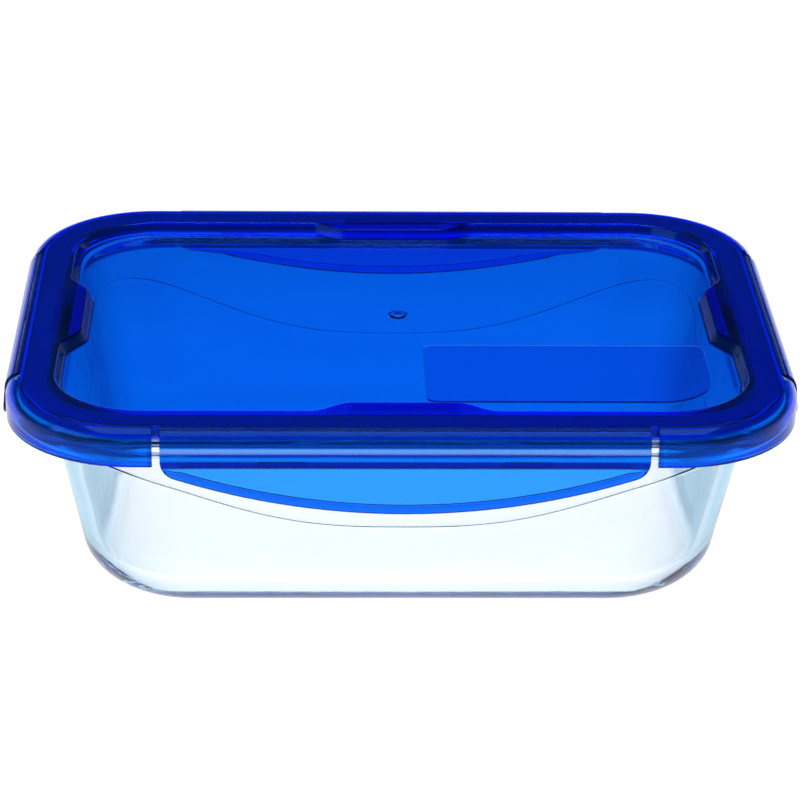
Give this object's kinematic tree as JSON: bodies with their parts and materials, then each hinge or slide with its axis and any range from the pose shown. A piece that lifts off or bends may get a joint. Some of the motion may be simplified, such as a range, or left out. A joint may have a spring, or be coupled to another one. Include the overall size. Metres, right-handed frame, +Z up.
{
  "type": "glass food storage container",
  "caption": "Rectangular clear glass dish with a translucent blue lid: recessed panel, hinged clip flaps along its sides and a silicone gasket under the rim.",
  "frame": {"origin": "centre of the dish's flat base", "axes": "+X along the long side, -Y to the front, +Z up out of the dish"},
  "size_m": [0.2038, 0.1542, 0.061],
  "materials": {
    "clear_glass": "clear pressed glass, fire-polished",
    "lid_plastic": "translucent blue polypropylene, semi-gloss",
    "gasket_silicone": "soft matte silicone"
  },
  "bodies": {
    "dish": {"glass_dish": "clear_glass"},
    "lid": {"lid_shell": "lid_plastic", "lid_gasket": "gasket_silicone", "front_hinge": "lid_plastic", "rear_hinge": "lid_plastic", "left_hinge": "lid_plastic", "right_hinge": "lid_plastic"},
    "front_flap": {"front_flap": "lid_plastic"},
    "rear_flap": {"rear_flap": "lid_plastic"},
    "left_flap": {"left_flap": "lid_plastic"},
    "right_flap": {"right_flap": "lid_plastic"}
  },
  "joints": [
    {"name": "lid_lift", "type": "slide", "parent": "dish", "child": "lid", "axis": [0, 0, 1], "range_m": [0, 0.08]},
    {"name": "front_flap_hinge", "type": "hinge", "parent": "lid", "child": "front_flap", "pos_m": [0, -0.07244, 0.06], "axis": [-1, 0, 0], "range_deg": [-5, 115]},
    {"name": "rear_flap_hinge", "type": "hinge", "parent": "lid", "child": "rear_flap", "pos_m": [0, 0.07244, 0.06], "axis": [1, 0, 0], "range_deg": [-5, 115]},
    {"name": "left_flap_hinge", "type": "hinge", "parent": "lid", "child": "left_flap", "pos_m": [-0.09744, 0, 0.06], "axis": [0, 1, 0], "range_deg": [-5, 115]},
    {"name": "right_flap_hinge", "type": "hinge", "parent": "lid", "child": "right_flap", "pos_m": [0.09744, 0, 0.06], "axis": [0, -1, 0], "range_deg": [-5, 115]}
  ]
}
